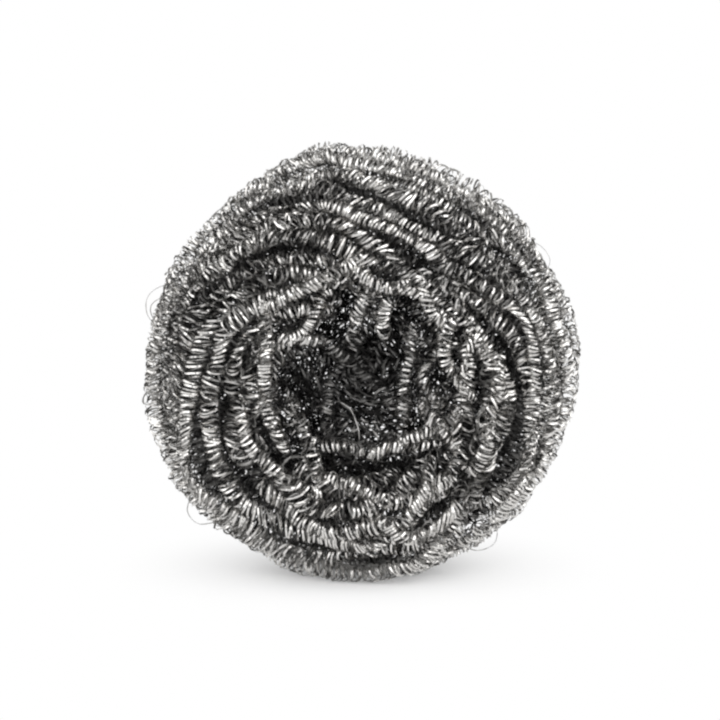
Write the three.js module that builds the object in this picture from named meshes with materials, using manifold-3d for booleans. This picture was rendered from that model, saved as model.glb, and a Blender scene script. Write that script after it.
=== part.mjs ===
// Stainless steel scourer: one long strand of flat steel wire, curled into a fine coil and wound turn
// beside turn into a squashed ball. Millimetres, +Z up. The ball stands on its rim: the winding axis
// runs along Y, the open dimple faces -Y, and the origin is the middle of the small flat that the
// ball's own weight presses into its underside.
// The strand is modelled by the round envelope of its coil, as one ridge for each turn. The inside of
// the ball is the same strand packed tight, so turns, crossings and inside are one solid.
import * as THREE from "three";
import { mergeVertices } from "three/addons/utils/BufferGeometryUtils.js";
import Module from "manifold-3d";

// Driving dimensions
const BALL_WIDTH = 90; // across the rim
const BALL_DEPTH = 58; // front to back, along the winding axis
const COIL_DIAMETER = 4.8; // outside of the coiled strand
const TURN_SPACING = 4.3; // between neighbouring turns, measured over the surface
const FRONT_DIMPLE_WIDTH = 35; // where the strand dives in at the front
const FRONT_DIMPLE_DEPTH = 16;
const FRONT_DIMPLE_STEEPNESS = 2.4; // more gives steeper sides and a flatter bottom
const BACK_DIMPLE_WIDTH = 16; // the shallower tuck at the back
const BACK_DIMPLE_DEPTH = 8;
const BACK_DIMPLE_STEEPNESS = 2;
const DIMPLE_SHIFT_X = -2.7; // the front dimple lies a little off the axis
const DIMPLE_SHIFT_Z = -2.4;
const BALL_SHIFT_Y = -1.5; // centres the ball, as the wide dimple takes more off its front
const POLE_WELL = 7; // depth of the hole left inside the first and the last turn
const FLAT_SINK = 1.3; // how far the underside is pressed in by standing
const CROWN_SINK = 1.2; // how far the turns lie inside the ball's width, which only the highest reach
const ROUNDNESS = 2.2; // exponent of the ball's section: 2 is an ellipse, more is boxier
const WINDING_LEAN = 15; // how far the turns lean over to one side of the ball
const LEAN_ANGLE = 235; // the side, in degrees, where they spread out at the front

// How a coil's round envelope is drawn, as shares of its radius unless stated
const FLANK_REACH = 0.75; // from the crown to the rows beside it
const VALLEY_OF_GAP = 0.6; // depth of a valley, as a share of the distance between its turns
const CROSSING_GIRTH = 0.75; // a crossing strand is pulled thinner than the turns
const CROSSING_REST = 0.4; // how far a crossing strand's middle lies under the ball's even outside
const CROSSING_DIVE = 1.6; // how much deeper its ends lie
const PARTING_FADE = 1.6; // how a crevice's push fades over the next turns, in turns squared
const POLE_CALM = [0.5, 6]; // turns from a pole over which they become free to stray
const END_TUCK = 0.4; // turns over which the strand's two ends tuck in

// Where the rim stands out or is pressed in: its angle round the axis and half its length in degrees,
// and the amount in millimetres.
const RIM_BULGES = [
  { angle: 32, reach: 8, amount: -0.8 },
  { angle: 60, reach: 14, amount: -0.7 },
  { angle: 99, reach: 6, amount: 1.2 },
  { angle: 141, reach: 18, amount: -1.7 },
  { angle: 211, reach: 8, amount: 1.1 },
  { angle: 222, reach: 20, amount: 1.9 },
  { angle: 250, reach: 8, amount: 0.7 },
  { angle: 268, reach: 20, amount: 1.3 },
  { angle: 286, reach: 5, amount: 1.5 },
  { angle: 318, reach: 16, amount: 0.5 },
];

// How the turns stray from an even winding. Each wave has cycles round the ball, drift in radians
// from one turn to the next, phase in degrees and amount in millimetres.
const SIDE_WAVES = [
  { cycles: 3, drift: 0.12, phase: -30, amount: 1.9 },
  { cycles: 2, drift: 0.9, phase: 20, amount: 0.7 },
  { cycles: 4, drift: -1.3, phase: 140, amount: 0.55 },
  { cycles: 6, drift: 1.9, phase: 250, amount: 0.4 },
  { cycles: 9, drift: -2.6, phase: 80, amount: 0.3 },
];
const LIFT_WAVES = [
  { cycles: 2, drift: -1.7, phase: 60, amount: 0.8 },
  { cycles: 3, drift: 2.4, phase: 200, amount: 0.7 },
  { cycles: 5, drift: 1.1, phase: 310, amount: 0.5 },
  { cycles: 8, drift: 2.9, phase: 20, amount: 0.35 },
];

// Where neighbouring turns are pulled apart into a crevice: its angle round the axis in degrees, how
// far out it lies as a share of the rim's radius, its width in millimetres and half its length in
// degrees. Those with back set lie behind the rim.
const CREVICES = [
  { angle: 76, out: 0.6, width: 2.0, reach: 24 },
  { angle: 80, out: 0.78, width: 1.6, reach: 26 },
  { angle: 14, out: 0.69, width: 2.3, reach: 18 },
  { angle: 355, out: 0.56, width: 1.7, reach: 10 },
  { angle: 198, out: 0.61, width: 2.0, reach: 22 },
  { angle: 212, out: 0.49, width: 1.9, reach: 13 },
  { angle: 180, out: 0.73, width: 1.2, reach: 12 },
  { angle: 257, out: 0.81, width: 2.0, reach: 14 },
  { angle: 289, out: 0.76, width: 1.7, reach: 12 },
  { angle: 305, out: 0.64, width: 1.8, reach: 14 },
  { angle: 120, out: 0.68, width: 1.4, reach: 16 },
  { angle: 330, out: 0.8, width: 1.6, reach: 16 },
  { angle: 45, out: 0.86, width: 1.3, reach: 16 },
  { angle: 40, out: 0.67, width: 1.8, reach: 26, back: true },
  { angle: 150, out: 0.53, width: 1.9, reach: 24, back: true },
  { angle: 230, out: 0.73, width: 1.7, reach: 22, back: true },
  { angle: 310, out: 0.44, width: 2.0, reach: 26, back: true },
  { angle: 95, out: 0.84, width: 1.6, reach: 18, back: true },
];

// Pits where the turns are pushed in, placed in the same way, with width and depth in millimetres.
const PITS = [
  { angle: 60, out: 0.38, width: 5, depth: 5 },
  { angle: 56, out: 0.28, width: 5, depth: 6 },
  { angle: 40, out: 0.18, width: 6, depth: 6 },
  { angle: 98, out: 0.29, width: 4, depth: 6 },
  { angle: 104, out: 0.23, width: 4, depth: 5 },
  { angle: 131, out: 0.36, width: 6, depth: 5 },
  { angle: 117, out: 0.32, width: 5, depth: 4 },
  { angle: 14, out: 0.33, width: 5, depth: 4 },
  { angle: 4, out: 0.35, width: 6, depth: 6 },
  { angle: 352, out: 0.41, width: 5, depth: 5 },
  { angle: 206, out: 0.19, width: 6, depth: 5 },
  { angle: 232, out: 0.23, width: 5, depth: 6 },
  { angle: 244, out: 0.29, width: 5, depth: 5 },
  { angle: 226, out: 0.44, width: 6, depth: 6 },
  { angle: 264, out: 0.31, width: 5, depth: 5 },
  { angle: 282, out: 0.34, width: 5, depth: 5 },
  { angle: 298, out: 0.37, width: 5, depth: 5 },
  { angle: 315, out: 0.42, width: 5, depth: 5 },
  { angle: 314, out: 0.27, width: 5, depth: 5 },
  { angle: 124, out: 0.22, width: 4, depth: 5 },
  { angle: 178, out: 0.27, width: 6, depth: 4 },
  { angle: 53, out: 0.62, width: 5, depth: 5 },
  { angle: 44, out: 0.54, width: 4, depth: 4 },
  { angle: 64, out: 0.54, width: 5, depth: 4 },
  { angle: 358, out: 0.57, width: 5, depth: 4 },
  { angle: 24, out: 0.47, width: 4, depth: 5 },
  { angle: 332, out: 0.52, width: 4, depth: 4 },
  { angle: 340, out: 0.55, width: 4, depth: 4 },
  { angle: 308, out: 0.87, width: 6, depth: 5 },
  { angle: 315, out: 0.72, width: 6, depth: 4 },
  { angle: 328, out: 0.66, width: 4, depth: 4 },
  { angle: 220, out: 0.66, width: 6, depth: 5 },
  { angle: 190, out: 0.58, width: 5, depth: 5 },
  { angle: 206, out: 0.46, width: 5, depth: 4 },
  { angle: 180, out: 0.59, width: 5, depth: 4 },
  { angle: 135, out: 0.65, width: 6, depth: 3 },
  { angle: 20, out: 0.4, width: 6, depth: 5, back: true },
  { angle: 75, out: 0.3, width: 5, depth: 5, back: true },
  { angle: 130, out: 0.62, width: 6, depth: 4, back: true },
  { angle: 205, out: 0.35, width: 6, depth: 5, back: true },
  { angle: 255, out: 0.6, width: 5, depth: 5, back: true },
  { angle: 285, out: 0.3, width: 5, depth: 5, back: true },
  { angle: 335, out: 0.7, width: 6, depth: 4, back: true },
];

// Lengths of strand that cross over the turns. Each is raised from its rest by its lift in millimetres,
// runs through points given as an angle round the axis in degrees and a share of the rim's radius,
// and dives under the turns at both ends.
const CROSSINGS = [
  { lift: 0.6, route: [[144, 0.51], [136, 0.5], [122, 0.47], [110, 0.46], [96, 0.48], [88, 0.53]] },
  { lift: 0.8, route: [[93, 0.5], [84, 0.44], [72, 0.43], [63, 0.46], [54, 0.46]] },
  { lift: 1.8, route: [[62, 0.46], [68, 0.39], [68, 0.34], [62, 0.28], [52, 0.2]] },
  { lift: 0.6, route: [[82, 0.37], [85, 0.32], [87, 0.25], [90, 0.17], [94, 0.09]] },
  { lift: 0.6, route: [[142, 0.54], [152, 0.47], [164, 0.42], [180, 0.39], [196, 0.34]] },
  { lift: 0.8, route: [[106, 0.37], [130, 0.32], [148, 0.34], [162, 0.38]] },
  { lift: 0.8, route: [[194, 0.24], [218, 0.29], [233, 0.34], [249, 0.41]] },
  { lift: 1.0, route: [[238, 0.27], [265, 0.29], [284, 0.32], [304, 0.35], [322, 0.4]] },
  { lift: 1.4, route: [[42, 0.3], [22, 0.26], [0, 0.23], [-24, 0.24], [-46, 0.25]] },
  { lift: 0.6, route: [[-12, 0.26], [-24, 0.33], [-29, 0.4], [-37, 0.49]] },
  { lift: 0.6, route: [[60, 0.51], [49, 0.46], [38, 0.44], [28, 0.49]] },
  { lift: 1.0, route: [[36, 0.51], [25, 0.42], [12, 0.4], [-2, 0.44], [-12, 0.5]] },
  { lift: 0.6, route: [[28, 0.56], [11, 0.48], [-5, 0.46], [-20, 0.45], [-40, 0.51]] },
  { lift: 0.6, route: [[184, 0.45], [195, 0.41], [210, 0.39], [226, 0.38]] },
  { lift: 0.6, route: [[24, 0.54], [10, 0.57], [-2, 0.61], [-14, 0.67]] },
  { lift: 0.2, route: [[190, 0.54], [204, 0.53], [222, 0.52], [239, 0.52], [256, 0.52]] },
  { lift: 0.5, route: [[22, 0.35], [8, 0.3], [-6, 0.31], [-20, 0.36]] },
  { lift: 0.3, route: [[250, 0.4], [270, 0.46], [292, 0.56], [310, 0.63]] },
  { lift: 0.3, route: [[276, 0.62], [286, 0.71], [297, 0.79]] },
  { lift: 0.3, route: [[320, 0.69], [338, 0.62], [352, 0.6], [368, 0.64]] },
  { lift: 0.3, route: [[20, 0.8], [45, 0.62], [80, 0.53], [110, 0.6]], back: true },
  { lift: 0.3, route: [[150, 0.31], [185, 0.44], [215, 0.6], [240, 0.78]], back: true },
  { lift: 0.3, route: [[260, 0.49], [290, 0.6], [320, 0.58], [350, 0.44]], back: true },
  { lift: 0.3, route: [[100, 0.84], [125, 0.73], [150, 0.73], [170, 0.84]], back: true },
];

// How finely the surface is made
const STEPS_PER_TURN = 27;
const CROSSING_SIDES = 6;
const CROSSING_STEP = 6; // along a crossing strand

// Sizes that follow
const TURN = 2 * Math.PI;
const COIL_RADIUS = COIL_DIAMETER / 2;
const RIM_RADIUS = BALL_WIDTH / 2; // to the outside of the coil
const HALF_DEPTH = BALL_DEPTH / 2;
const AXIS_HEIGHT = RIM_RADIUS - FLAT_SINK; // of the winding axis over the flat

// The ball's half section, from the bottom of the front dimple over the rim to the back dimple:
// x is the distance from the winding axis and y runs along it, from front to back.
class HalfSection extends THREE.Curve {
  constructor() {
    super();
    this.arcLengthDivisions = 400;
  }

  getPoint(t, target = new THREE.Vector2()) {
    const sweep = Math.PI * t;
    const round = (value) => Math.sign(value) * Math.abs(value) ** (2 / ROUNDNESS);
    const radius = RIM_RADIUS * round(Math.sin(sweep));
    const depth = -HALF_DEPTH * round(Math.cos(sweep));
    const dimple = (width, deep, steepness) => deep * Math.exp(-((radius / (width / 2)) ** steepness));
    const sunk =
      t < 0.5
        ? dimple(FRONT_DIMPLE_WIDTH, FRONT_DIMPLE_DEPTH, FRONT_DIMPLE_STEEPNESS)
        : -dimple(BACK_DIMPLE_WIDTH, BACK_DIMPLE_DEPTH, BACK_DIMPLE_STEEPNESS);
    return target.set(radius, depth + sunk);
  }
}

const section = new HalfSection();
const SECTION_LENGTH = section.getLength();
const FIRST_TURN = 1; // the poles stay open
const TURN_COUNT = Math.floor(SECTION_LENGTH / TURN_SPACING) - 2;

// Distance over the surface, from the front pole, of the place that lies out at a share of the rim.
function alongAt(out, back) {
  let [near, far] = back ? [1, 0.5] : [0, 0.5];
  for (let i = 0; i < 40; i++) {
    const middle = (near + far) / 2;
    if (section.getPointAt(middle).x < out * RIM_RADIUS) near = middle;
    else far = middle;
  }
  return near * SECTION_LENGTH;
}

// Shortest way from one angle to another, in radians.
const angleFrom = (start, end) => Math.atan2(Math.sin(end - start), Math.cos(end - start));

// How far the rim stands out at an angle round the axis.
const bulge = (angle) =>
  RIM_BULGES.reduce((sum, place) => {
    const aside = angleFrom(THREE.MathUtils.degToRad(place.angle), angle);
    return sum + place.amount * Math.exp(-((aside / THREE.MathUtils.degToRad(place.reach)) ** 2));
  }, 0);

// A point of the ball, from its distance over the surface, its angle round the axis and its height
// over the ball's even outside.
function surfacePoint(along, angle, height) {
  const share = THREE.MathUtils.clamp(along / SECTION_LENGTH, 0, 1);
  const at = section.getPointAt(share);
  const slope = section.getTangentAt(share);
  const radius = (at.x + slope.y * height) * (1 + bulge(angle) / RIM_RADIUS);
  const front = Math.max(0, 0.5 - share) * 2;
  const shift = front ** 3;
  return new THREE.Vector3(
    radius * Math.cos(angle) + DIMPLE_SHIFT_X * shift,
    at.y - slope.x * height + BALL_SHIFT_Y,
    AXIS_HEIGHT + radius * Math.sin(angle) + DIMPLE_SHIFT_Z * shift,
  );
}

const waveSum = (waves, angle, turn) =>
  waves.reduce(
    (sum, wave) =>
      sum +
      wave.amount *
        Math.sin(wave.cycles * angle + wave.drift * turn + THREE.MathUtils.degToRad(wave.phase)),
    0,
  );

// How far from the poles the turns have come, from 0 to 1: near a pole they can't stray.
function freedom(turn) {
  const fromPole = Math.min(turn, TURN_COUNT + 2 - turn);
  return THREE.MathUtils.smoothstep(fromPole, ...POLE_CALM);
}

// Distance over the surface of a turn's crown before crevices part the turns. Turns are counted from
// the front pole, and turn n.25 lies a quarter of the way round from turn n.
function evenCrown(turn) {
  const angle = TURN * turn;
  const lean =
    Math.sin((Math.PI * turn) / (TURN_COUNT + 2)) *
    Math.cos(angle - THREE.MathUtils.degToRad(LEAN_ANGLE));
  return turn * TURN_SPACING + WINDING_LEAN * lean + freedom(turn) * waveSum(SIDE_WAVES, angle, turn);
}

// Each crevice lies in the valley nearest to its stated place.
const crevices = CREVICES.map(({ angle, out, width, reach, back }) => {
  const round = THREE.MathUtils.degToRad(angle) / TURN;
  const wanted = alongAt(out, back);
  let best = round;
  for (let turn = round; turn < TURN_COUNT + 1; turn++) {
    const valley = (evenCrown(turn) + evenCrown(turn + 1)) / 2;
    const bestValley = (evenCrown(best) + evenCrown(best + 1)) / 2;
    if (Math.abs(valley - wanted) < Math.abs(bestValley - wanted)) best = turn;
  }
  return { turn: best + 0.5, angle: TURN * round, width, reach: THREE.MathUtils.degToRad(reach) };
});

// How far crevices push a turn sideways: most beside the crevice, fading over the next turns.
function parting(turn) {
  return crevices.reduce((sum, crevice) => {
    const round = angleFrom(crevice.angle, TURN * turn) / crevice.reach;
    // The crevice keeps to one valley as that valley winds on round the ball.
    const across = turn - crevice.turn - angleFrom(crevice.angle, TURN * turn) / TURN;
    const push = Math.sign(across) * Math.exp(-((Math.abs(across) - 0.5) ** 2) / PARTING_FADE);
    return sum + (crevice.width / 2) * push * Math.exp(-(round ** 2));
  }, 0);
}

const crownAlong = (turn) => evenCrown(turn) + parting(turn);

// Height of a turn's crown over the ball's even outside. The strand's two ends tuck in at the poles.
function crownLift(turn) {
  const fromEnd = Math.min(turn - FIRST_TURN, TURN_COUNT - turn);
  const tuck = COIL_RADIUS * (1 - THREE.MathUtils.smoothstep(fromEnd, 0, END_TUCK));
  return freedom(turn) * waveSum(LIFT_WAVES, TURN * turn, turn) - CROWN_SINK - tuck;
}

const pits = PITS.map(({ angle, out, width, depth, back }) => ({
  along: alongAt(out, back),
  angle: THREE.MathUtils.degToRad(angle),
  width,
  depth,
}));

// How deep the pits push the turns in at a place on the ball.
function sink(along, angle) {
  const radius = section.getPointAt(THREE.MathUtils.clamp(along / SECTION_LENGTH, 0, 1)).x;
  return pits.reduce((deepest, pit) => {
    const aside = Math.hypot(along - pit.along, radius * angleFrom(pit.angle, angle));
    return Math.max(deepest, pit.depth * Math.exp(-((aside / (pit.width / 2)) ** 2)));
  }, 0);
}

// Drop of a round coil's surface below its crown, at a distance to the side.
const coilDrop = (aside, radius) => radius - Math.sqrt(radius ** 2 - aside ** 2);

// The four rows of points that carry one turn: the valley before it, a flank, the crown, a flank.
function turnRows(turn) {
  const angle = TURN * turn;
  const here = crownAlong(turn);
  const before = here - crownAlong(turn - 1);
  const after = crownAlong(turn + 1) - here;
  const lift = crownLift(turn);
  const valley = (lift + crownLift(turn - 1)) / 2 - VALLEY_OF_GAP * before;
  const row = (along, height) => surfacePoint(along, angle, height - sink(along, angle));
  // A strand with less room is squeezed thinner, so that neighbours touch halfway between them.
  const flank = (gap, side) => {
    const girth = Math.min(COIL_RADIUS, gap / 2);
    const aside = FLANK_REACH * girth;
    return row(here + side * aside, lift - coilDrop(aside, girth));
  };
  return [row(here - before / 2, valley), flank(before, -1), row(here, lift), flank(after, 1)];
}

// The wound ball as one closed surface. Its rows of points follow the strand from the front dimple to
// the back, and each turn's last row is joined to the next turn's valley.
function windingGeometry() {
  const steps = STEPS_PER_TURN * (TURN_COUNT - FIRST_TURN);
  const points = [];
  const index = [];
  for (let step = 0; step <= steps + STEPS_PER_TURN; step++) {
    points.push(...turnRows(FIRST_TURN + step / STEPS_PER_TURN));
  }
  const rows = 4;
  const at = (step, row) =>
    row < rows ? step * rows + row : (step + STEPS_PER_TURN) * rows;
  for (let step = 0; step < steps; step++) {
    for (let row = 0; row < rows; row++) {
      const [a, b] = [at(step, row), at(step, row + 1)];
      const [c, d] = [at(step + 1, row), at(step + 1, row + 1)];
      index.push(a, b, c, b, d, c);
    }
  }
  // The poles are closed with a fan round the open end of the first and the last turn.
  const closePole = (loop, pole, front) => {
    points.push(pole);
    loop.forEach((vertex, i) => {
      const next = loop[(i + 1) % loop.length];
      index.push(points.length - 1, ...(front ? [vertex, next] : [next, vertex]));
    });
  };
  const endRows = (step) => Array.from({ length: rows }, (_, row) => at(step, row));
  const inner = Array.from({ length: STEPS_PER_TURN + 1 }, (_, step) => at(step, 0));
  closePole([...inner, ...endRows(0).slice(1).reverse()], surfacePoint(0, 0, -POLE_WELL), true);
  const outer = Array.from({ length: STEPS_PER_TURN + 1 }, (_, step) => at(steps + step, 0));
  closePole(
    [...outer, ...endRows(steps).slice(1).reverse()],
    surfacePoint(SECTION_LENGTH, 0, -POLE_WELL),
    false,
  );
  const used = new Set(index);
  const numberOf = new Map([...used].map((vertex, i) => [vertex, i]));
  return new THREE.BufferGeometry()
    .setFromPoints([...used].map((vertex) => points[vertex]))
    .setIndex(index.map((vertex) => numberOf.get(vertex)));
}

// The middle of a strand that lies over the turns, with its ends sunk between them.
class CrossingLine extends THREE.Curve {
  constructor({ lift, route, back }) {
    super();
    this.lift = lift;
    this.route = new THREE.SplineCurve(route.map(([angle, out]) => new THREE.Vector2(angle, out)));
    this.back = back;
  }

  getPoint(t, target = new THREE.Vector3()) {
    const at = this.route.getPoint(t);
    const end = Math.abs(2 * t - 1);
    const dive = (this.lift + CROSSING_DIVE * COIL_RADIUS) * end ** 3;
    const height = this.lift - CROSSING_REST * COIL_RADIUS - dive;
    const along = alongAt(at.y, this.back);
    return target.copy(surfacePoint(along, THREE.MathUtils.degToRad(at.x), height));
  }
}

function crossingGeometry(crossing) {
  const line = new CrossingLine(crossing);
  const round = new THREE.Shape().absarc(0, 0, CROSSING_GIRTH * COIL_RADIUS, 0, TURN);
  const ring = new THREE.Shape(round.getSpacedPoints(CROSSING_SIDES).slice(0, CROSSING_SIDES));
  return new THREE.ExtrudeGeometry(ring, {
    extrudePath: line,
    steps: Math.ceil(line.getLength() / CROSSING_STEP),
    curveSegments: 1,
  });
}

// The bench side: everything below the standing height is pressed away.
function benchGeometry() {
  const size = 2 * BALL_WIDTH;
  return new THREE.BoxGeometry(size, size, BALL_WIDTH).translate(0, 0, -BALL_WIDTH / 2);
}

const wasm = await Module();
wasm.setup();

function solidOf(geometry) {
  geometry.deleteAttribute("normal");
  geometry.deleteAttribute("uv");
  const merged = mergeVertices(geometry);
  return new wasm.Manifold(
    new wasm.Mesh({
      numProp: 3,
      vertProperties: merged.attributes.position.array,
      triVerts: new Uint32Array(merged.index.array),
    }),
  );
}

function geometryOf(solid) {
  const { vertProperties, triVerts } = solid.getMesh();
  const geometry = new THREE.BufferGeometry();
  geometry.setAttribute("position", new THREE.BufferAttribute(vertProperties, 3));
  geometry.setIndex(new THREE.BufferAttribute(triVerts, 1));
  geometry.computeVertexNormals();
  return geometry;
}

// The strand is packed tight where a crossing lies on the turns, so a pocket sealed under it is filled.
function withoutPockets(solid) {
  const shells = solid.decompose();
  return shells.reduce((largest, shell) => (shell.volume() > largest.volume() ? shell : largest));
}

const steel = new THREE.MeshStandardMaterial({ color: 0x8f8d8a, roughness: 0.32, metalness: 1 });

function scourer() {
  const wound = CROSSINGS.reduce(
    (ball, crossing) => ball.add(solidOf(crossingGeometry(crossing))),
    solidOf(windingGeometry()),
  );
  const pressed = wound.subtract(solidOf(benchGeometry()));
  const mesh = new THREE.Mesh(geometryOf(withoutPockets(pressed)), steel);
  mesh.name = "wound_coil";
  return mesh;
}

const part = new THREE.Group();
part.add(scourer());

export default part;
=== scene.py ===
"""Looks of the stainless steel scourer: coils of flat steel wire wound over the CAD solid's turns.

The winding below repeats the CAD source's formula and values, in metres, so each coil lies in the
ridge that stands for it there.
"""

import math

import bpy
import numpy as np
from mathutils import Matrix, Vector


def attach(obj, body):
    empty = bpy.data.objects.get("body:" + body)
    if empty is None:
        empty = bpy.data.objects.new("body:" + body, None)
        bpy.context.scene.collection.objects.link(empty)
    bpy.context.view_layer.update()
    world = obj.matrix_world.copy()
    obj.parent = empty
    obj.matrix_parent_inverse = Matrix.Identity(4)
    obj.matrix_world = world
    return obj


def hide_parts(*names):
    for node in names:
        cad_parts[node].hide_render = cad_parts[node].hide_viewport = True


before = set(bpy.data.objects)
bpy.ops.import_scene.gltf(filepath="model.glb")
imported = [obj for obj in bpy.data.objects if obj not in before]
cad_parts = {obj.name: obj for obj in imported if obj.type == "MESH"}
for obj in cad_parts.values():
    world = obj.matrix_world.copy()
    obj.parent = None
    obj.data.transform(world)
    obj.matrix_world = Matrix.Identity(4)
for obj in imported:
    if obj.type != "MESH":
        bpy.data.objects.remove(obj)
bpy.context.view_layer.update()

MM = 0.001
TURN = 2 * math.pi

# The ball and its winding, as in the CAD source
BALL_WIDTH = 90 * MM
BALL_DEPTH = 58 * MM
COIL_DIAMETER = 4.8 * MM
TURN_SPACING = 4.3 * MM
FRONT_DIMPLE_WIDTH = 35 * MM
FRONT_DIMPLE_DEPTH = 16 * MM
FRONT_DIMPLE_STEEPNESS = 2.4
BACK_DIMPLE_WIDTH = 16 * MM
BACK_DIMPLE_DEPTH = 8 * MM
BACK_DIMPLE_STEEPNESS = 2
DIMPLE_SHIFT_X = -2.7 * MM
DIMPLE_SHIFT_Z = -2.4 * MM
DIMPLE_SHIFT_FADE = 3  # more makes the shift die out nearer the front pole
BALL_SHIFT_Y = -1.5 * MM
FLAT_SINK = 1.3 * MM
ROUNDNESS = 2.2
WINDING_LEAN = 15 * MM  # how far the turns lean over to one side of the ball
LEAN_ANGLE = 235  # the side where they spread out at the front, in degrees
FIRST_TURN = 1  # the poles stay open
POLE_CALM = (0.5, 6)  # turns from a pole over which they become free to stray
PARTING_FADE = 1.6  # how a crevice's push fades over the next turns, in turns squared
END_TUCK = 0.4  # turns over which the strand's two ends tuck in

# Where the rim stands out or is pressed in: angle and half length in degrees, amount
RIM_BULGES = [
    (32, 8, -0.8 * MM),
    (60, 14, -0.7 * MM),
    (99, 6, 1.2 * MM),
    (141, 18, -1.7 * MM),
    (211, 8, 1.1 * MM),
    (222, 20, 1.9 * MM),
    (250, 8, 0.7 * MM),
    (268, 20, 1.3 * MM),
    (286, 5, 1.5 * MM),
    (318, 16, 0.5 * MM),
]

# Waves of the winding: cycles round the ball, drift from turn to turn, phase in degrees, amount
SIDE_WAVES = [
    (3, 0.12, -30, 1.9 * MM),
    (2, 0.9, 20, 0.7 * MM),
    (4, -1.3, 140, 0.55 * MM),
    (6, 1.9, 250, 0.4 * MM),
    (9, -2.6, 80, 0.3 * MM),
]
LIFT_WAVES = [
    (2, -1.7, 60, 0.8 * MM),
    (3, 2.4, 200, 0.7 * MM),
    (5, 1.1, 310, 0.5 * MM),
    (8, 2.9, 20, 0.35 * MM),
]

# Crevices: angle in degrees, share of the rim's radius, width, half length in degrees
FRONT_CREVICES = [
    (76, 0.6, 2.0 * MM, 24),
    (80, 0.78, 1.6 * MM, 26),
    (14, 0.69, 2.3 * MM, 18),
    (355, 0.56, 1.7 * MM, 10),
    (198, 0.61, 2.0 * MM, 22),
    (212, 0.49, 1.9 * MM, 13),
    (180, 0.73, 1.2 * MM, 12),
    (257, 0.81, 2.0 * MM, 14),
    (289, 0.76, 1.7 * MM, 12),
    (305, 0.64, 1.8 * MM, 14),
    (120, 0.68, 1.4 * MM, 16),
    (330, 0.8, 1.6 * MM, 16),
    (45, 0.86, 1.3 * MM, 16),
]
BACK_CREVICES = [
    (40, 0.67, 1.8 * MM, 26),
    (150, 0.53, 1.9 * MM, 24),
    (230, 0.73, 1.7 * MM, 22),
    (310, 0.44, 2.0 * MM, 26),
    (95, 0.84, 1.6 * MM, 18),
]

# Pits where the turns are pushed in: angle in degrees, share of the rim's radius, width, depth
FRONT_PITS = [
    (60, 0.38, 5 * MM, 5 * MM),
    (56, 0.28, 5 * MM, 6 * MM),
    (40, 0.18, 6 * MM, 6 * MM),
    (98, 0.29, 4 * MM, 6 * MM),
    (104, 0.23, 4 * MM, 5 * MM),
    (131, 0.36, 6 * MM, 5 * MM),
    (117, 0.32, 5 * MM, 4 * MM),
    (14, 0.33, 5 * MM, 4 * MM),
    (4, 0.35, 6 * MM, 6 * MM),
    (352, 0.41, 5 * MM, 5 * MM),
    (206, 0.19, 6 * MM, 5 * MM),
    (232, 0.23, 5 * MM, 6 * MM),
    (244, 0.29, 5 * MM, 5 * MM),
    (226, 0.44, 6 * MM, 6 * MM),
    (264, 0.31, 5 * MM, 5 * MM),
    (282, 0.34, 5 * MM, 5 * MM),
    (298, 0.37, 5 * MM, 5 * MM),
    (315, 0.42, 5 * MM, 5 * MM),
    (314, 0.27, 5 * MM, 5 * MM),
    (124, 0.22, 4 * MM, 5 * MM),
    (178, 0.27, 6 * MM, 4 * MM),
    (53, 0.62, 5 * MM, 5 * MM),
    (44, 0.54, 4 * MM, 4 * MM),
    (64, 0.54, 5 * MM, 4 * MM),
    (358, 0.57, 5 * MM, 4 * MM),
    (24, 0.47, 4 * MM, 5 * MM),
    (332, 0.52, 4 * MM, 4 * MM),
    (340, 0.55, 4 * MM, 4 * MM),
    (308, 0.87, 6 * MM, 5 * MM),
    (315, 0.72, 6 * MM, 4 * MM),
    (328, 0.66, 4 * MM, 4 * MM),
    (220, 0.66, 6 * MM, 5 * MM),
    (190, 0.58, 5 * MM, 5 * MM),
    (206, 0.46, 5 * MM, 4 * MM),
    (180, 0.59, 5 * MM, 4 * MM),
    (135, 0.65, 6 * MM, 3 * MM),
]
BACK_PITS = [
    (20, 0.4, 6 * MM, 5 * MM),
    (75, 0.3, 5 * MM, 5 * MM),
    (130, 0.62, 6 * MM, 4 * MM),
    (205, 0.35, 6 * MM, 5 * MM),
    (255, 0.6, 5 * MM, 5 * MM),
    (285, 0.3, 5 * MM, 5 * MM),
    (335, 0.7, 6 * MM, 4 * MM),
]

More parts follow.
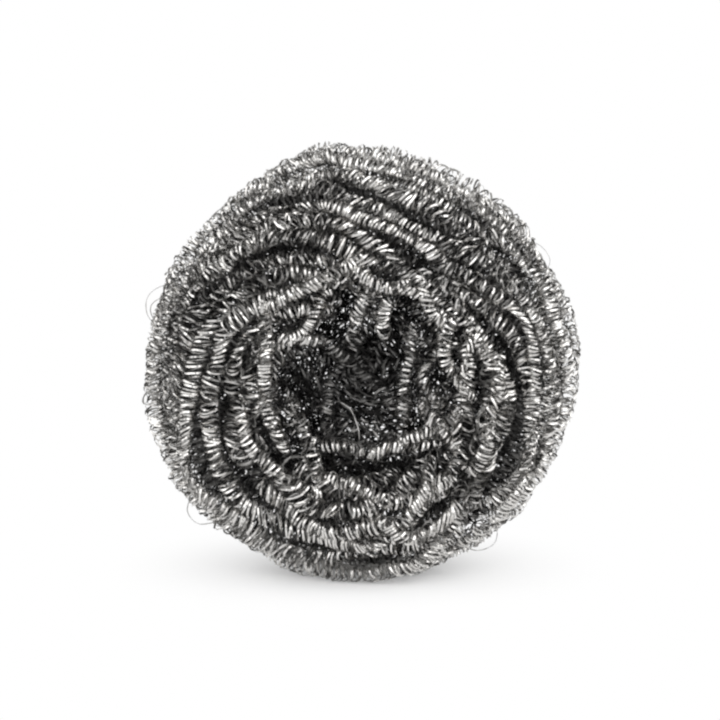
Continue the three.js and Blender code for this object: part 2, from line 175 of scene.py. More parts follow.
# Strands that cross over the turns: how far each stands up from them, and its points as an angle in
# degrees and a share of the rim's radius. Five of those round the hole are only here, as they hardly
# rise over the turns.
FRONT_CROSSINGS = [
    (0.6 * MM, [(144, 0.51), (136, 0.5), (122, 0.47), (110, 0.46), (96, 0.48), (88, 0.53)]),
    (0.8 * MM, [(93, 0.5), (84, 0.44), (72, 0.43), (63, 0.46), (54, 0.46)]),
    (1.8 * MM, [(62, 0.46), (68, 0.39), (68, 0.34), (62, 0.28), (52, 0.2)]),
    (0.6 * MM, [(82, 0.37), (85, 0.32), (87, 0.25), (90, 0.17), (94, 0.09)]),
    (0.6 * MM, [(142, 0.54), (152, 0.47), (164, 0.42), (180, 0.39), (196, 0.34)]),
    (0.8 * MM, [(106, 0.37), (130, 0.32), (148, 0.34), (162, 0.38)]),
    (0.8 * MM, [(194, 0.24), (218, 0.29), (233, 0.34), (249, 0.41)]),
    (1.0 * MM, [(238, 0.27), (265, 0.29), (284, 0.32), (304, 0.35), (322, 0.4)]),
    (1.4 * MM, [(42, 0.3), (22, 0.26), (0, 0.23), (-24, 0.24), (-46, 0.25)]),
    (0.6 * MM, [(-12, 0.26), (-24, 0.33), (-29, 0.4), (-37, 0.49)]),
    (0.6 * MM, [(60, 0.51), (49, 0.46), (38, 0.44), (28, 0.49)]),
    (1.0 * MM, [(36, 0.51), (25, 0.42), (12, 0.4), (-2, 0.44), (-12, 0.5)]),
    (0.6 * MM, [(28, 0.56), (11, 0.48), (-5, 0.46), (-20, 0.45), (-40, 0.51)]),
    (0.6 * MM, [(184, 0.45), (195, 0.41), (210, 0.39), (226, 0.38)]),
    (0.6 * MM, [(24, 0.54), (10, 0.57), (-2, 0.61), (-14, 0.67)]),
    (0.2 * MM, [(190, 0.54), (204, 0.53), (222, 0.52), (239, 0.52), (256, 0.52)]),
    (0.5 * MM, [(22, 0.35), (8, 0.3), (-6, 0.31), (-20, 0.36)]),
    (0.2 * MM, [(142, 0.45), (131, 0.41), (120, 0.35), (108, 0.26)]),
    (0.2 * MM, [(160, 0.42), (148, 0.36), (138, 0.27), (127, 0.17)]),
    (0.2 * MM, [(333, 0.38), (320, 0.36), (310, 0.33), (302, 0.27)]),
    (0.3 * MM, [(250, 0.4), (270, 0.46), (292, 0.56), (310, 0.63)]),
    (0.3 * MM, [(276, 0.62), (286, 0.71), (297, 0.79)]),
    (0.3 * MM, [(320, 0.69), (338, 0.62), (352, 0.6), (368, 0.64)]),
    (0.4 * MM, [(132, 0.22), (112, 0.12), (50, 0.06), (-10, 0.1), (-38, 0.2)]),
    (0.2 * MM, [(246, 0.2), (216, 0.11), (150, 0.07), (96, 0.1), (74, 0.18)]),
]
BACK_CROSSINGS = [
    (0.3 * MM, [(20, 0.8), (45, 0.62), (80, 0.53), (110, 0.6)]),
    (0.3 * MM, [(150, 0.31), (185, 0.44), (215, 0.6), (240, 0.78)]),
    (0.3 * MM, [(260, 0.49), (290, 0.6), (320, 0.58), (350, 0.44)]),
    (0.3 * MM, [(100, 0.84), (125, 0.73), (150, 0.73), (170, 0.84)]),
]

# Places where the coil is still even, as it came off the machine: angle in degrees, share of the
# rim's radius, reach
CALM_PLACES = [
    (180, 0.74, 9 * MM),
    (200, 0.74, 9 * MM),
    (232, 0.84, 10 * MM),
    (262, 0.8, 10 * MM),
    (286, 0.82, 10 * MM),
    (318, 0.84, 10 * MM),
    (66, 0.6, 9 * MM),
    (86, 0.62, 10 * MM),
    (80, 0.76, 9 * MM),
    (350, 0.68, 8 * MM),
    (12, 0.72, 9 * MM),
    (215, 0.7, 9 * MM),
    (245, 0.66, 9 * MM),
    (270, 0.68, 10 * MM),
    (300, 0.7, 9 * MM),
]

# Single wires that stand off the ball: points as an angle in degrees, a share of the rim's radius and a
# height
STRAY_WIRES = [
    [
        (216, 0.19, -1 * MM),
        (231, 0.14, 5 * MM),
        (262, 0.17, 7 * MM),
        (274, 0.25, 6 * MM),
        (273, 0.32, 4 * MM),
        (267, 0.36, -1 * MM),
    ],
    [
        (155, 0.97, -2.3 * MM),
        (158, 0.98, 0.4 * MM),
        (162, 0.99, 1.4 * MM),
        (166, 0.98, 0.6 * MM),
        (169, 0.97, -2.3 * MM),
    ],
    [
        (157, 0.94, -2.3 * MM),
        (161, 0.95, 1.2 * MM),
        (164, 0.95, 1.6 * MM),
        (167, 0.95, -0.6 * MM),
        (168, 0.94, -2.8 * MM),
    ],
    [
        (143, 0.96, -2.3 * MM),
        (139, 0.97, -0.4 * MM),
        (134, 0.98, 0.2 * MM),
        (129, 0.97, -0.3 * MM),
        (126, 0.96, -2.3 * MM),
    ],
    [
        (299, 0.96, -2.3 * MM),
        (302, 0.98, 0.2 * MM),
        (306, 0.99, 1.0 * MM),
        (309, 0.98, -0.2 * MM),
        (311, 0.97, -2.3 * MM),
    ],
    [(217, 0.96, -2.3 * MM), (220, 0.98, 0.0 * MM), (224, 0.98, 0.3 * MM), (227, 0.97, -2.0 * MM)],
    [(38, 0.96, -2.3 * MM), (35, 0.98, 0.2 * MM), (30, 0.98, 0.6 * MM), (27, 0.97, -2.0 * MM)],
]
STRAY_WIDTH = 0.2 * MM
# painted shade on the single wires, the same all along them
STRAY_SHADE = 0.6
STRAY_TWIST = 0.2  # how much they twist from one sample to the next, in radians
STRAY_SAMPLES = 60

# The wire
RIBBON_WIDTH = 0.42 * MM
RIBBON_THICKNESS = 0.07 * MM
RIBBON_SIDES = 3  # a flat outer face, and two sloping ones that look into the coil
BAKE_ROW_SHAPE = 2  # more gives the bake map longer and fewer rows
WIRE_COLOUR = (0.745, 0.731, 0.71)
# painted shade: the dark colour the wire is mixed towards in hollows, pits, flanks and inner faces
PAINTED_SHADE_COLOUR = (0.03, 0.029, 0.028)
STAIN_COLOUR = (0.205, 0.185, 0.158)
MOTTLE_SCALE = 900
MOTTLE_DETAIL = 2
STAIN_BAND = (0.3, 0.6)  # mottle from the most stained steel to the cleanest
CLEAN_SHARE = (0.6, 1.0)  # how clean the steel is at the two ends of that band
POLISH_BAND = (0.3, 0.7)  # mottle from the dullest steel to the brightest
POLISH_ROUGHNESS = (0.28, 0.14)  # roughness at the two ends of that band
SHADE_ROUGHNESS = 0.3  # how much rougher the wire is in the deepest hole

# Painted shade: how far the wire's colour is darkened, from 0 on the open ball to 1 in the deepest hole
INSIDE_SHADE = 0.86  # the strand under the outer turns
FLANK_SHADE = 0.46  # how dark a loop gets where it dips between the strands
FLANK_TOP = 0.5  # how high on a loop that starts, to the loop's radius
INNER_FACE_SHADE = 0.49  # the side of the wire that looks into its coil
HOLE_SHADE = 0.3  # the part that spreads over the whole hole
HOLE_FLOOR_SHADE = 0.7  # the part that keeps to its floor
HOLE_FLOOR_POWER = 3  # more keeps it closer to the floor
DARK_PIT_DEPTH = 4 * MM  # a pit this deep is as dark as the hole
CROSSING_SHADE = 0.95

# How crushed the coil is
OPEN_MESS = 1.55
CALM_EASE = 0.9  # how much less it is in the calm places
HOLE_MESS = 0.8  # how much more it is in the deepest hole
RIM_EASE = 0.35  # the share by which it is less at the rim
RIM_EASE_FROM = 0.9  # the share of the rim's radius where that starts
LEAST_MESS = 0.85  # no stretch of coil is more even than this
INSIDE_MESS = 1.0
FRONT_CROSSING_MESS = 0.85
BACK_CROSSING_MESS = 1.2

# The coil
LOOP_PITCH = 0.79 * MM
LOOP_POINTS = 13  # in each loop of the outer turns
LOOP_HEIGHT = 0.82  # to the strand's girth
LOOP_WIDTH = 0.97
LOOP_SINK = 1.4 * MM  # keeps the loops that stand out inside the ball's outline
FLOOR_SQUEEZE = 0.9 * MM  # loops nearer the floor than this are pressed flatter
PULL = 0.22  # how much wider apart the loops lie in crushed stretches
PULL_FROM = 0.7  # the mess at which they keep their pitch
PITCH_STEP = 0.2 * MM  # how finely the pitch varies along a strand

# Random wander of the coil along its strand: over what length it changes, and how much
PITCH_WANDER = [(9 * MM, 0.24), (2.6 * MM, 0.2)]
MESS_WANDER = (14 * MM, 0.35)
MESS_LIMITS = (0.7, 1.3)  # the least and the most that chance makes of the mess
TILT_WANDER = [(11 * MM, 0.34), (2.2 * MM, 0.26)]
YAW_WANDER = [(9 * MM, 0.42), (2.2 * MM, 0.26)]
HEIGHT_WANDER = [(6 * MM, 0.08), (1.5 * MM, 0.11)]
WIDTH_WANDER = [(6 * MM, 0.06), (1.5 * MM, 0.08)]
SIDE_WANDER = [(5 * MM, 0.16 * MM)]
RISE_WANDER = [(4 * MM, 0.3 * MM)]
TWIST_WANDER = [(6 * MM, 0.3)]

# Random dents in the loops: over what share of a loop they change, and how much
HEIGHT_DENTS = (0.24, 0.13)
WIDTH_DENTS = (0.24, 0.1)
FORWARD_DENTS = (0.24, 0.16)
TWIST_DENTS = (0.24, 0.5)
SHARP_TWIST_DENTS = (0.12, 1.0)
SEED = 11
LEAST_KNOTS = 4
SPARE_KNOTS = 3
KNOT_STEPS = 8  # steps from one random knot to the next, over which it is smoothed

# The windings
SAMPLES_PER_TURN = 400
OUTER_PIECES = 3
GIRTH_OF_GAP = 0.46  # girth of a turn to the distance of its nearer neighbour
LEAST_GIRTH = 0.5  # to the coil's radius
FULL_GIRTH = 0.9
INNER_LIFT = 0.5  # share of the outer turns' lift that the turns under them follow
INNER_DROP = 0.5  # share of a crevice's width by which the turns under it sink

# Windings under the outer one: name, depth, turns that it lies aside, turns that it stays away from the
# ends, loop pitch and points in each loop
INNER_WINDINGS = [
    ("middle_turns", 4.4 * MM, 0.5, 1.5, 1.5 * MM, 10),
    ("deep_turns", 8.4 * MM, 0.0, 3, 1.9 * MM, 8),
]

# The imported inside
PACKED_TURNS = 22
PACKED_SAMPLES_PER_TURN = 300
PACKED_SWING = 2.39  # radians round the axis for each turn over the poles
PACKED_REACH = 30 * MM
PACKED_DEPTH = 9 * MM
PACKED_GIRTH = 1.1  # to the coil's radius
PACKED_PITCH = 2.2 * MM
PACKED_POINTS = 8

# The crossing strands
CROSSING_SAMPLES = 400
CROSSING_GIRTH = 0.62  # to the coil's radius, as the next two
CROSSING_REST = 0.3  # how far the strand's middle lies under the ball's even outside
CROSSING_DIVE = 1.6  # how much deeper its ends lie
CROSSING_BEND = 3  # more keeps the dive closer to the ends
CROSSING_PITCH = 0.95 * MM
CROSSING_POINTS = 14

# The studio, in metres and watts
FLOOR_HALF_WIDTH = 6.0
FLOOR_COLOUR = (0.92, 0.92, 0.92, 1)
FLOOR_ROUGHNESS = 0.8
FLOOR_FADE = 0.055  # distance from the ball's foot at which the floor is as white as the background
FLOOR_WHITE = 0.12  # share of that white at the ball's foot
WHITE_SIDE = (0, 1, -1)  # direction of the white side of the studio, behind the ball and below it
WHITE_BAND = (-0.2, 0.4)  # how far a direction leans to that side, from dim to white
DIM_SIDE = 0.33  # strength of the dim side
# Lamps: name, place, width and height, power
LAMPS = [
    ("top_softbox", (-0.1, 0.05, 0.7), (0.5, 0.5), 0.1),
    ("left_softbox", (-0.55, -0.3, 0.42), (0.45, 0.45), 0.3),
    ("left_sheet", (-0.75, -0.42, 0.48), (2.4, 1.3), 13.0),
    ("right_softbox", (0.52, -0.3, 0.46), (0.45, 0.45), 0.4),
    ("right_sheet", (0.72, -0.42, 0.5), (2.4, 1.3), 15.4),
    ("front_softbox", (0.08, -0.55, 0.42), (0.35, 0.35), 0.25),
]
CAMERA_LENS = 120
CAMERA_DISTANCE = 0.495
CAMERA_ELEVATION = 7.5  # degrees
CAMERA_AIM_X = -0.2 * MM
CAMERA_AIM_RISE = 0.4 * MM  # over the ball's axis
PIXEL_FILTER_WIDTH = 2.3  # the photograph is a little soft

# Sizes that follow
COIL_RADIUS = COIL_DIAMETER / 2
RIM_RADIUS = BALL_WIDTH / 2
HALF_DEPTH = BALL_DEPTH / 2
AXIS_HEIGHT = RIM_RADIUS - FLAT_SINK


class HalfSection:
    """The ball's half section by distance over the surface, from the front pole to the back pole."""

    def __init__(self, samples=4001):
        t = np.linspace(0, 1, samples)

        def rounded(value):
            return np.sign(value) * np.abs(value) ** (2 / ROUNDNESS)

        def dimple(depth, width, steepness):
            return depth * np.exp(-((2 * radius / width) ** steepness))

        radius = RIM_RADIUS * rounded(np.sin(np.pi * t))
        front = dimple(FRONT_DIMPLE_DEPTH, FRONT_DIMPLE_WIDTH, FRONT_DIMPLE_STEEPNESS)
        back = dimple(BACK_DIMPLE_DEPTH, BACK_DIMPLE_WIDTH, BACK_DIMPLE_STEEPNESS)
        depth = -HALF_DEPTH * rounded(np.cos(np.pi * t)) + np.where(t < 0.5, front, -back)
        steps = np.hypot(np.diff(radius), np.diff(depth))
        self.along = np.concatenate([[0], np.cumsum(steps)])
        self.length = self.along[-1]
        self.radius = radius
        self.depth = depth
        self.out = np.gradient(radius, self.along)
        self.inward = np.gradient(depth, self.along)
        self.half = samples // 2

    def at(self, along):
        """Radius, depth and the two parts of the direction over the surface."""
        columns = (self.radius, self.depth, self.out, self.inward)
        return [np.interp(along, self.along, column) for column in columns]

    def along_at(self, share, back):
        """Distance over the surface of the place at a share of the rim's radius."""
        if back:
            return np.interp(-share * RIM_RADIUS, -self.radius[self.half :], self.along[self.half :])
        return np.interp(share * RIM_RADIUS, self.radius[: self.half + 1], self.along[: self.half + 1])


section = HalfSection()
TURN_COUNT = math.floor(section.length / TURN_SPACING) - 2


def angle_from(start, end):
    return np.arctan2(np.sin(end - start), np.cos(end - start))


def bulge(angle):
    """How far the rim stands out at an angle round the axis."""
    return sum(
        amount * np.exp(-((angle_from(math.radians(middle), angle) / math.radians(reach)) ** 2))
        for middle, reach, amount in RIM_BULGES
    )


def surface(along, angle, height):
    """Points of the ball, and its outward direction there."""
    along = np.clip(along, 0, section.length)
    radius, depth, out, inward = section.at(along)
    radius = (radius + inward * height) * (1 + bulge(angle) / RIM_RADIUS)
    shift = (np.maximum(0, 0.5 - along / section.length) * 2) ** DIMPLE_SHIFT_FADE
    points = np.stack(
        [
            radius * np.cos(angle) + DIMPLE_SHIFT_X * shift,
            depth - out * height + BALL_SHIFT_Y,
            AXIS_HEIGHT + radius * np.sin(angle) + DIMPLE_SHIFT_Z * shift,
        ],
        axis=-1,
    )
    normals = np.stack([inward * np.cos(angle), -out, inward * np.sin(angle)], axis=-1)
    return points, normals


def smoothstep(value, low, high):
    x = np.clip((value - low) / (high - low), 0, 1)
    return x * x * (3 - 2 * x)


def wave_sum(waves, turn):
    return sum(
        amount * np.sin(cycles * TURN * turn + slip * turn + math.radians(phase))
        for cycles, slip, phase, amount in waves
    )


def freedom(turn):
    """How far from the poles a turn has come, from 0 to 1: near a pole it can't stray."""
    return smoothstep(np.minimum(turn, TURN_COUNT + 2 - turn), *POLE_CALM)


def even_crown(turn):
    """Where a turn's crown lies over the surface, before crevices push it aside."""
    lean = np.sin(np.pi * turn / (TURN_COUNT + 2)) * np.cos(TURN * turn - math.radians(LEAN_ANGLE))
    return turn * TURN_SPACING + WINDING_LEAN * lean + freedom(turn) * wave_sum(SIDE_WAVES, turn)


def placed_crevice(angle, share, width, reach, back):
    """A crevice in the valley nearest to its stated place."""
    turn = math.radians(angle) / TURN + np.arange(TURN_COUNT + 1)
    valley = (even_crown(turn) + even_crown(turn + 1)) / 2
    best = turn[np.argmin(np.abs(valley - section.along_at(share, back)))]
    return best + 0.5, math.radians(angle), width, math.radians(reach)


crevices = [placed_crevice(*values, False) for values in FRONT_CREVICES]
crevices += [placed_crevice(*values, True) for values in BACK_CREVICES]


def parting(turn):
    """How far crevices push a turn sideways."""
    push = np.zeros_like(turn)
    for middle, angle, width, reach in crevices:
        away = angle_from(angle, TURN * turn)
        across = turn - middle - away / TURN
        beside = np.sign(across) * np.exp(-((np.abs(across) - 0.5) ** 2) / PARTING_FADE)
        push += width / 2 * beside * np.exp(-((away / reach) ** 2))
    return push


def crown_along(turn):
    return even_crown(turn) + parting(turn)


def crown_lift(turn):
    """How far a turn's crown rises from the ball's even outside."""
    from_end = np.minimum(turn - FIRST_TURN, TURN_COUNT - turn)
    tuck = COIL_RADIUS * (1 - smoothstep(from_end, 0, END_TUCK))
    return freedom(turn) * wave_sum(LIFT_WAVES, turn) - tuck


def placed_pit(angle, share, width, depth, back):
    return section.along_at(share, back), math.radians(angle), width, depth


pits = [placed_pit(*values, False) for values in FRONT_PITS]
pits += [placed_pit(*values, True) for values in BACK_PITS]


def distance_aside(along, angle, place_along, place_angle):
    """How far over the surface places on the ball lie from one of them."""
    radius = section.at(along)[0]
    return np.hypot(along - place_along, radius * angle_from(place_angle, angle))


def sink(along, angle):
    """How deep pits push the turns in."""
    deepest = np.zeros_like(along)
    for pit_along, pit_angle, width, depth in pits:
        aside = distance_aside(along, angle, pit_along, pit_angle)
        deepest = np.maximum(deepest, depth * np.exp(-((2 * aside / width) ** 2)))
    return deepest


def painted_shade_at(along, sunk):
    """Painted shade that the hollows give a turn, from 0 on the open ball to 1 in the deepest hole."""
    radius = section.at(along)[0]
    hole = np.exp(-((2 * radius / FRONT_DIMPLE_WIDTH) ** FRONT_DIMPLE_STEEPNESS))
    shade = HOLE_SHADE * hole + HOLE_FLOOR_SHADE * hole**HOLE_FLOOR_POWER
    in_front = np.where(along < section.length / 2, shade, 0)
    return np.clip(in_front + sunk / DARK_PIT_DEPTH, 0, 1)


def mess_at(along, angle, shade):
    """How crushed the coil is: least in the calm places, most in the hole."""
    calm = np.zeros_like(along)
    for place_angle, share, reach in CALM_PLACES:
        place_along = section.along_at(share, False)
        aside = distance_aside(along, angle, place_along, math.radians(place_angle))
        calm = np.maximum(calm, np.exp(-((aside / reach) ** 2)))
    rim = smoothstep(section.at(along)[0], RIM_EASE_FROM * RIM_RADIUS, RIM_RADIUS)
    return (OPEN_MESS - CALM_EASE * calm + HOLE_MESS * shade) * (1 - RIM_EASE * rim)


def drift(length, every, amount, rng):
    """A smooth random wander along a strand, as a function of distance."""
    knots = max(LEAST_KNOTS, int(length / every) + SPARE_KNOTS)
    values = rng.normal(0, amount, knots)
    places = np.linspace(0, length, knots)
    fine = np.linspace(0, length, knots * KNOT_STEPS)
    rough = np.interp(fine, places, values)
    kernel = np.hanning(2 * KNOT_STEPS + 1)
    soft = np.convolve(np.pad(rough, KNOT_STEPS, mode="edge"), kernel / kernel.sum(), mode="valid")
    return lambda distance: np.interp(distance, fine, soft)


def spline(values, t):
    """A curve through the values, as smooth as a bent wire, at places from 0 to 1 along it."""
    padded = np.concatenate([[2 * values[0] - values[1]], values, [2 * values[-1] - values[-2]]])
    spans = len(values) - 1
    span = np.minimum((t * spans).astype(int), spans - 1)
    u = t * spans - span
    a, b, c, d = (padded[span + i] for i in range(4))
    return 0.5 * (2 * b + (c - a) * u + (2 * a - 5 * b + 4 * c - d) * u**2 + (3 * b - a - 3 * c + d) * u**3)


def unit(rows):
    return rows / np.linalg.norm(rows, axis=-1, keepdims=True)


def square_to(run, rows):
    """Directions turned square to a run, in the plane of the two."""
    return unit(rows - run * np.sum(rows * run, axis=1, keepdims=True))


def turned(first, second, angle):
    """Directions turned by an angle from the first of two towards the second."""
    return first * np.cos(angle)[:, None] + second * np.sin(angle)[:, None]


# Each line below is points, the ball's outward direction there, and the strand's girth (as a radius),
# painted shade and mess.


def outer_line():
    """The middle line of the outer winding."""
    turn = np.linspace(FIRST_TURN, TURN_COUNT, SAMPLES_PER_TURN * (TURN_COUNT - FIRST_TURN))
    along = crown_along(turn)
    gap = np.minimum(crown_along(turn + 1) - along, along - crown_along(turn - 1))
    girth = np.clip(GIRTH_OF_GAP * gap, LEAST_GIRTH * COIL_RADIUS, FULL_GIRTH * COIL_RADIUS)
    sunk = sink(along, TURN * turn)
    height = crown_lift(turn) - LOOP_SINK - LOOP_HEIGHT * girth - sunk
    # painted shade in the hole and the pits
    shade = painted_shade_at(along, sunk)
    return *surface(along, TURN * turn, height), girth, shade, mess_at(along, TURN * turn, shade)


def inner_line(depth, aside, from_ends):
    """A winding under the outer one, sunk further where a crevice parts the turns."""
    samples = SAMPLES_PER_TURN * (TURN_COUNT - FIRST_TURN)
    turn = np.linspace(FIRST_TURN + from_ends, TURN_COUNT - from_ends, samples)
    near = crown_along(turn + aside - 0.5)
    far = crown_along(turn + aside + 0.5)
    parted = np.maximum(0, far - near - TURN_SPACING)
    along = (near + far) / 2
    sunk = sink(along, TURN * turn)
    height = crown_lift(turn) * INNER_LIFT - sunk - COIL_RADIUS - depth - INNER_DROP * parted
    girth = np.full_like(turn, FULL_GIRTH * COIL_RADIUS)
    # painted shade: the windings under the outer turns are darker, most of all in the hole
    shade = np.maximum(INSIDE_SHADE, painted_shade_at(along, sunk))
    return *surface(along, TURN * turn, height), girth, shade, np.full_like(turn, INSIDE_MESS)


def packed_line():
    """The strand's packed inside, wound over the poles like a ball of yarn."""
    t = np.linspace(0, PACKED_TURNS, PACKED_SAMPLES_PER_TURN * PACKED_TURNS)
    polar = TURN * t
    azimuth = PACKED_SWING * t
    out = np.sin(polar)
    ball = np.stack([out * np.cos(azimuth), np.cos(polar), out * np.sin(azimuth)], axis=-1)
    middle = np.array([0, BALL_SHIFT_Y, AXIS_HEIGHT])
    points = middle + ball * np.array([PACKED_REACH, PACKED_DEPTH, PACKED_REACH])
    girth = np.full_like(t, PACKED_GIRTH * COIL_RADIUS)
    # painted shade all along the packed inside
    return points, ball, girth, np.full_like(t, INSIDE_SHADE), np.full_like(t, INSIDE_MESS)


def crossing_line(lift, route, back):
    """The middle line of a strand that lies over the turns, with its ends sunk between them."""
    t = np.linspace(0, 1, CROSSING_SAMPLES)
    angles, shares = (spline(column, t) for column in np.array(route).T)
    along = section.along_at(shares, back)
    dive = (lift + CROSSING_DIVE * COIL_RADIUS) * np.abs(2 * t - 1) ** CROSSING_BEND
    height = lift - dive - CROSSING_REST * COIL_RADIUS
    girth = np.full_like(t, CROSSING_GIRTH * COIL_RADIUS)
    # painted shade: the crossing strands darken towards the floor of the hole
    shade = CROSSING_SHADE * painted_shade_at(along, 0) ** 2
    mess = np.full_like(t, BACK_CROSSING_MESS if back else FRONT_CROSSING_MESS)
    return *surface(along, np.radians(angles), height), girth, shade, mess


def coil_along(line, pitch, loop_points, rng):
    """A wire that loops round a line: its points, its run, how its outer face looks, and its painted shade.
    """
    points, normals, girth, shade, mess = line
    steps = np.linalg.norm(np.diff(points, axis=0), axis=1)
    distance = np.concatenate([[0], np.cumsum(steps)])
    length = distance[-1]
    fine = np.linspace(0, length, int(length / PITCH_STEP))
    stretch = sum(drift(length, every, amount, rng)(fine) for every, amount in PITCH_WANDER)
    stretch = stretch + PULL * (np.interp(fine, distance, mess) - PULL_FROM)
    loops = np.concatenate([[0], np.cumsum(np.diff(fine) / (pitch * np.exp(stretch)[1:]))])
    count = int(loops[-1] * loop_points)
    loop = np.arange(count + 1) / loop_points
    at = np.interp(loop, loops, fine)

    def along(rows):
        return np.stack([np.interp(at, distance, column) for column in rows.T], axis=-1)

    radius = np.interp(at, distance, girth)
    middle = along(points)
    tangent = unit(along(np.gradient(points, distance, axis=0)))
    outward = square_to(tangent, along(normals))
    side = np.cross(tangent, outward)

    # Some stretches keep an even coil and others are crushed.
    swing = np.clip(1 + drift(length, *MESS_WANDER, rng)(at), *MESS_LIMITS)
    crushed = np.maximum(LEAST_MESS, np.interp(at, distance, mess) * swing)

    def wander(rows):
        return sum(drift(length, every, amount, rng)(at) * crushed for every, amount in rows)

    def dents(every, amount):
        return drift(loop[-1], every, amount, rng)(loop) * crushed

    theta = TURN * loop
    tilt = wander(TILT_WANDER)
    yaw = wander(YAW_WANDER)
    high = radius * (LOOP_HEIGHT + wander(HEIGHT_WANDER) + dents(*HEIGHT_DENTS))
    wide = radius * (LOOP_WIDTH + wander(WIDTH_WANDER) + dents(*WIDTH_DENTS))
    stray = wander(SIDE_WANDER)
    rise = wander(RISE_WANDER) + high * (1 - np.cos(tilt))
    forward = radius * dents(*FORWARD_DENTS)
    over = turned(outward, tangent, tilt)
    beside = turned(side, tangent, yaw)
    wire = (
        middle
        + side * stray[:, None]
        + outward * rise[:, None]
        + (high * np.sin(theta))[:, None] * over
        + (wide * np.cos(theta))[:, None] * beside
        + tangent * forward[:, None]
    )
    twist = wander(TWIST_WANDER) + dents(*TWIST_DENTS) + dents(*SHARP_TWIST_DENTS) * crushed
    run = unit(np.gradient(wire, axis=0))
    face = square_to(run, turned(beside, over, theta))
    # Painted shade: a loop's flanks and underside, where it dips between the strands, are darkened on top
    # of the line's own painted shade.
    under = FLANK_SHADE * np.clip(FLANK_TOP - np.sin(theta), 0, 1)
    dark = 1 - (1 - np.interp(at, distance, shade)) * (1 - under)
    return wire, run, turned(face, np.cross(run, face), twist), dark


def stray_wire(route, rng):
    """A single wire along a route, as coil_along gives one."""
    t = np.linspace(0, 1, STRAY_SAMPLES)
    angles, shares, heights = (spline(column, t) for column in np.array(route).T)
    wire, outward = surface(section.along_at(shares, False), np.radians(angles), heights)
    run = unit(np.gradient(wire, axis=0))
    face = square_to(run, outward)
    twist = np.cumsum(rng.normal(0, STRAY_TWIST, len(t)))
    return wire, run, turned(face, np.cross(run, face), twist), np.full_like(t, STRAY_SHADE)


def press_on_floor(points):
    """Loops that reach down to the floor are pressed flatter, and none goes through it."""
    z = points[:, 2]
    squeezed = FLOOR_SQUEEZE * np.exp(np.minimum(0, z - FLOOR_SQUEEZE) / FLOOR_SQUEEZE)
    points[:, 2] = np.where(z < FLOOR_SQUEEZE, squeezed, z)
    return points


def bake_cells(stations, side, row_length, row_count):
    """Corners in the bake map, where each step along a side of the wire has a cell of its own."""
    row = RIBBON_SIDES * (stations // row_length) + side
    column = stations % row_length
    left = column / row_length
    right = (column + 1) / row_length
    low = row / (RIBBON_SIDES * row_count)
    high = (row + 1) / (RIBBON_SIDES * row_count)
    return np.stack([left, low, left, high, right, high, right, low], axis=-1).reshape(-1, 2)


def mesh_of(name, corners, quads, caps):
    """A smooth mesh of quads and of triangles that cap them."""
    indices = np.concatenate([quads.ravel(), caps.ravel()]).astype(np.int32)
    sizes = np.concatenate([np.full(len(quads), 4), np.full(len(caps), 3)])
    starts = np.concatenate([[0], np.cumsum(sizes)[:-1]]).astype(np.int32)
    mesh = bpy.data.meshes.new(name)
    mesh.vertices.add(len(corners))
    mesh.vertices.foreach_set("co", corners.astype(np.float32).ravel())
    mesh.loops.add(len(indices))
    mesh.loops.foreach_set("vertex_index", indices)
    mesh.polygons.add(len(sizes))
    mesh.polygons.foreach_set("loop_start", starts)
    mesh.update(calc_edges=True)
    mesh.shade_smooth()
    return mesh


def sharpen_edges(mesh):
    """Makes the edges that run along the wire sharp: their ends lie one station apart."""
    ends = np.zeros(2 * len(mesh.edges), np.int32)
    mesh.edges.foreach_get("vertices", ends)
    ends = ends.reshape(-1, 2)
    sharp = mesh.attributes.new("sharp_edge", "BOOLEAN", "EDGE")
    sharp.data.foreach_set("value", np.abs(ends[:, 0] - ends[:, 1]) == RIBBON_SIDES)


def ribbon_mesh(name, wires, width):
    """Flat wire as one mesh: a slim closed section swept along each line, with sharp edges."""
    corners, quads, caps, shades, places = [], [], [], [], []
    station_count = sum(len(wire) for wire, *_ in wires)
    row_length = math.ceil(math.sqrt(BAKE_ROW_SHAPE * station_count))
    row_count = math.ceil(station_count / row_length)
    first_station = 0
    for wire, run, face, shade in wires:
        across = np.cross(run, face) * width / 2
        up = face * RIBBON_THICKNESS / 2
        rings = np.stack([wire + across + up, wire - across + up, wire - up], axis=1)
        corners.append(press_on_floor(rings.reshape(-1, 3)))
        stations = first_station + np.arange(len(wire) - 1)
        for side in range(RIBBON_SIDES):
            next_side = (side + 1) % RIBBON_SIDES
            quad = [side, next_side, RIBBON_SIDES + next_side, RIBBON_SIDES + side]
            quads.append(RIBBON_SIDES * stations[:, None] + np.array([quad]))
            places.append(bake_cells(stations, side, row_length, row_count))
            # Painted shade: the two sides that look into the coil are darker than the outer face.
            seen = shade if side == 0 else np.maximum(shade, INNER_FACE_SHADE)
            shades.append(np.stack([seen[:-1], seen[:-1], seen[1:], seen[1:]], axis=-1).ravel())
        start = RIBBON_SIDES * first_station
        end = start + RIBBON_SIDES * (len(wire) - 1)
        caps += [[start + 2, start + 1, start], [end, end + 1, end + 2]]
        first_station += len(wire)
    caps = np.array(caps)
    places.append(np.zeros((caps.size, 2)))
    shades.append(np.zeros(caps.size))
    mesh = mesh_of(name, np.concatenate(corners), np.concatenate(quads), caps)
    sharpen_edges(mesh)
    # The painted shade goes to each corner as an attribute, which the material mixes into the colour.
    shading = mesh.attributes.new("shade", "FLOAT", "CORNER")
    shading.data.foreach_set("value", np.concatenate(shades).astype(np.float32))
    bake_map = mesh.uv_layers.new(name="OFBake")
    bake_map.data.foreach_set("uv", np.concatenate(places).astype(np.float32).ravel())
    mesh.validate()
    return mesh


def feed(tree, socket, value):
    """Links a socket to another node's output, or sets it to a plain value."""
    if isinstance(value, bpy.types.NodeSocket):
        tree.links.new(value, socket)
    else:
        socket.default_value = value


